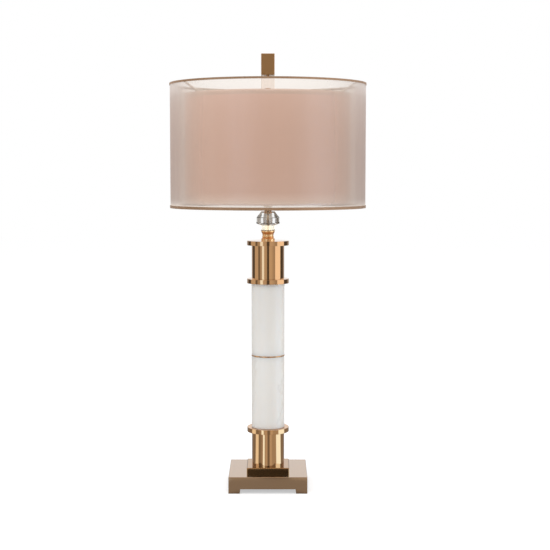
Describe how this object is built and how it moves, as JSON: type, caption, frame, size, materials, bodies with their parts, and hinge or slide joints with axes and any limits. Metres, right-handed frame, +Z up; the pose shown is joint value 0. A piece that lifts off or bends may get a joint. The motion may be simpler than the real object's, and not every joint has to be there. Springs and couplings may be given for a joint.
{
  "type": "alabaster table lamp",
  "caption": "Table lamp with a square bracket-footed brass base, a brass and alabaster column, a faceted glass neck, a sheer-over-solid drum shade and a square finial.",
  "frame": {"origin": "middle of the square footprint, on the surface that the lamp stands on", "axes": "+Z up along the column, -Y to the front, +X to the right with the switch knob"},
  "size_m": [0.3809, 0.381, 0.8456],
  "materials": {
    "base_brass": "satin, lightly glossy on top",
    "column_brass": "polished",
    "neck_brass": "polished, warmer tone",
    "finial_brass": "satin",
    "alabaster": "polished, faintly veined",
    "cut_glass": "clear, polished facets",
    "rubber": "matte",
    "ballast_iron": "raw casting",
    "black_board": "matte black",
    "zinc_steel": "zinc plated",
    "rod_brass": "threaded pipe",
    "black_plastic": "moulded",
    "centring_plastic": "moulded",
    "harp_brass": "plated wire",
    "socket_brass": "plated sheet",
    "socket_paper": "fibre",
    "socket_core": "moulded phenolic",
    "switch_steel": "turned",
    "bulb_cap": "bare",
    "bulb_glass": "frosted",
    "shade_wire": "gold-toned enamel",
    "sheer_fabric": "sheer woven organza",
    "lining_fabric": "plain woven cloth on a stiff backing",
    "gold_trim": "metallic gold tape"
  },
  "bodies": {
    "stand": {"base_plinth": "base_brass", "corner_feet": "base_brass", "plinth_step": "base_brass", "lower_sleeve": "column_brass", "lower_collar": "column_brass", "divider_ring": "column_brass", "middle_collar": "column_brass", "upper_sleeve": "column_brass", "top_collar": "column_brass", "neck_spool": "neck_brass", "crystal_cap": "neck_brass", "lower_alabaster": "alabaster", "upper_alabaster": "alabaster", "crystal_ball": "cut_glass", "foot_pads": "rubber", "stone_gaskets": "rubber", "base_weight": "ballast_iron", "underside_cover": "black_board", "foot_screws": "zinc_steel", "cover_screws": "zinc_steel", "rod_washer": "zinc_steel", "rod_lock_washer": "zinc_steel", "lower_rod_nut": "zinc_steel", "upper_rod_nut": "zinc_steel", "centre_rod": "rod_brass", "cord_bushing": "black_plastic", "centring_bushings": "centring_plastic", "harp_saddle": "harp_brass", "harp": "harp_brass", "harp_stud": "harp_brass", "socket_cap": "socket_brass", "socket_shell": "socket_brass", "screw_shell": "socket_brass", "contact_tab": "socket_brass", "socket_liner": "socket_paper", "socket_core": "socket_core"},
    "shade": {"shade_spider": "shade_wire", "outer_top_ring": "shade_wire", "outer_bottom_ring": "shade_wire", "inner_top_ring": "shade_wire", "inner_bottom_ring": "shade_wire", "outer_shade": "sheer_fabric", "inner_shade": "lining_fabric", "top_trim": "gold_trim", "bottom_trim": "gold_trim"},
    "finial": {"finial_foot": "finial_brass", "finial_block": "cut_glass", "finial_bar": "finial_brass"},
    "bulb": {"bulb_base": "bulb_cap", "bulb_glass": "bulb_glass"},
    "switch": {"switch_shaft": "switch_steel", "switch_knob": "black_plastic"},
    "front_ferrule": {"front_ferrule": "harp_brass"},
    "rear_ferrule": {"rear_ferrule": "harp_brass"}
  },
  "joints": [
    {"name": "shade_turn", "type": "hinge", "parent": "stand", "child": "shade", "pos_m": [0, 0, 0.7624], "axis": [0, 0, 1], "continuous": true},
    {"name": "finial_turn", "type": "hinge", "parent": "stand", "child": "finial", "pos_m": [0, 0, 0.76735], "axis": [0, 0, 1], "continuous": true},
    {"name": "bulb_turn", "type": "hinge", "parent": "stand", "child": "bulb", "pos_m": [0, 0, 0.5834], "axis": [0, 0, 1], "continuous": true},
    {"name": "switch_turn", "type": "hinge", "parent": "stand", "child": "switch", "pos_m": [0.0199, 0, 0.5759], "axis": [1, 0, 0], "continuous": true},
    {"name": "front_ferrule_slide", "type": "slide", "parent": "stand", "child": "front_ferrule", "axis": [0, 0, 1], "range_m": [0, 0.012]},
    {"name": "rear_ferrule_slide", "type": "slide", "parent": "stand", "child": "rear_ferrule", "axis": [0, 0, 1], "range_m": [0, 0.012]}
  ]
}
